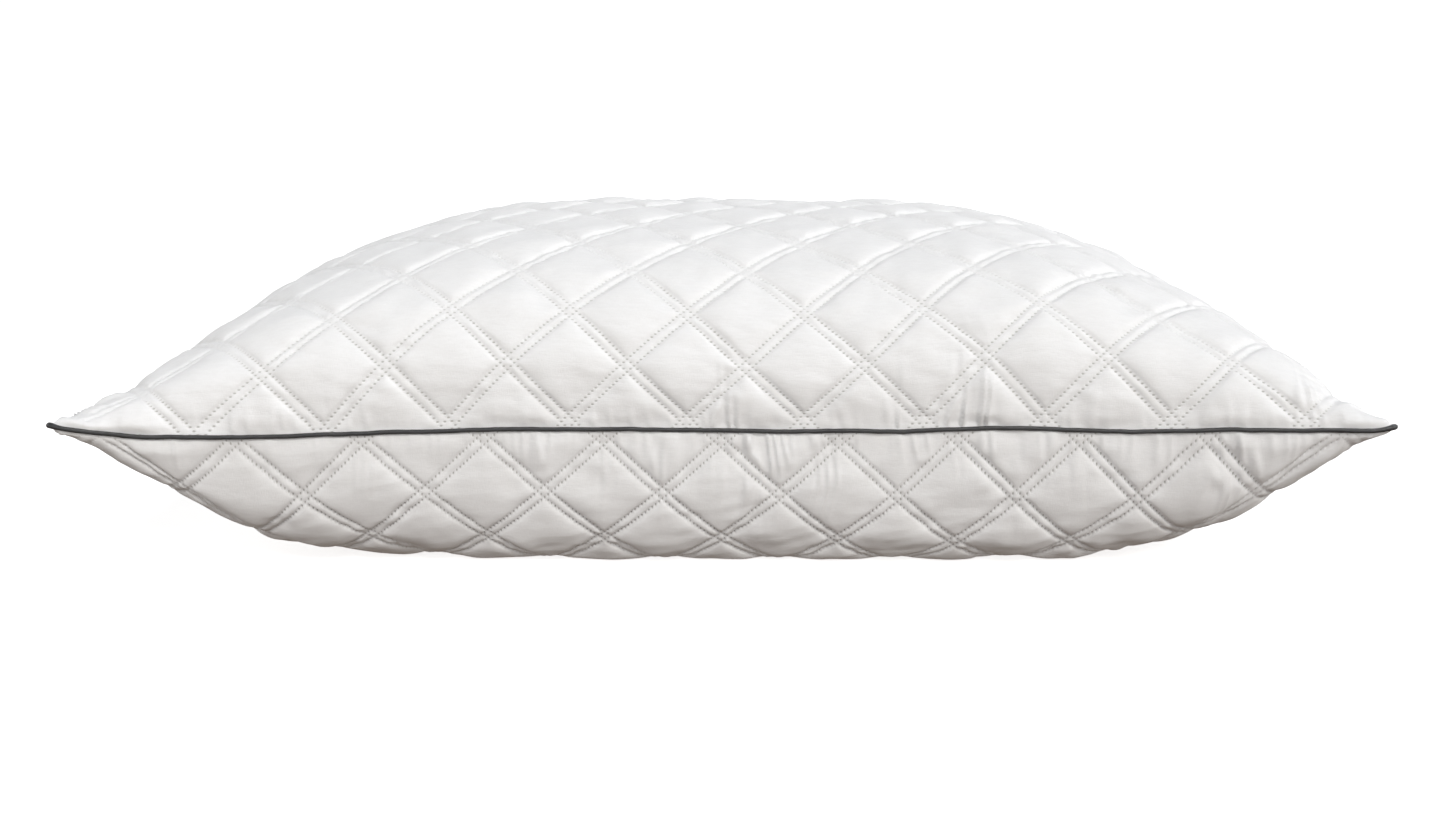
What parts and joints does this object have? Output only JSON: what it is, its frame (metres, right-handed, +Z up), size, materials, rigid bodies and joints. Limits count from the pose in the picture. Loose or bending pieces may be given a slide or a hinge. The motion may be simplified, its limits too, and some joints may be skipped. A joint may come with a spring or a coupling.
{
  "type": "bed pillow",
  "caption": "Plump rectangular bed pillow in a white diamond-quilted three-ply casing with a dark corded seam all round, lying flat on its belly.",
  "frame": {"origin": "centre of the pillow's plan, on the surface that its belly rests on", "axes": "+X along the long side, +Y from the front long side to the back one, +Z up through the crown"},
  "size_m": [0.7368, 0.4634, 0.1974],
  "materials": {
    "brushed_microfibre": "matte",
    "polyester_wadding": "matte",
    "nonwoven_backing": "matte",
    "hollow_fibre": "satin",
    "grey_sateen_strip": "satin",
    "twisted_cord": "matte",
    "grey_thread": "satin",
    "white_thread": "satin"
  },
  "bodies": {
    "root": {"top_face_fabric": "brushed_microfibre", "top_wadding": "polyester_wadding", "top_backing": "nonwoven_backing", "bottom_face_fabric": "brushed_microfibre", "bottom_wadding": "polyester_wadding", "bottom_backing": "nonwoven_backing", "fibre_fill": "hollow_fibre", "piping_cover": "grey_sateen_strip", "piping_cord": "twisted_cord", "overlock_edging": "white_thread", "needle_thread": "grey_thread", "bobbin_thread": "grey_thread", "closing_thread": "white_thread"}
  },
  "joints": []
}
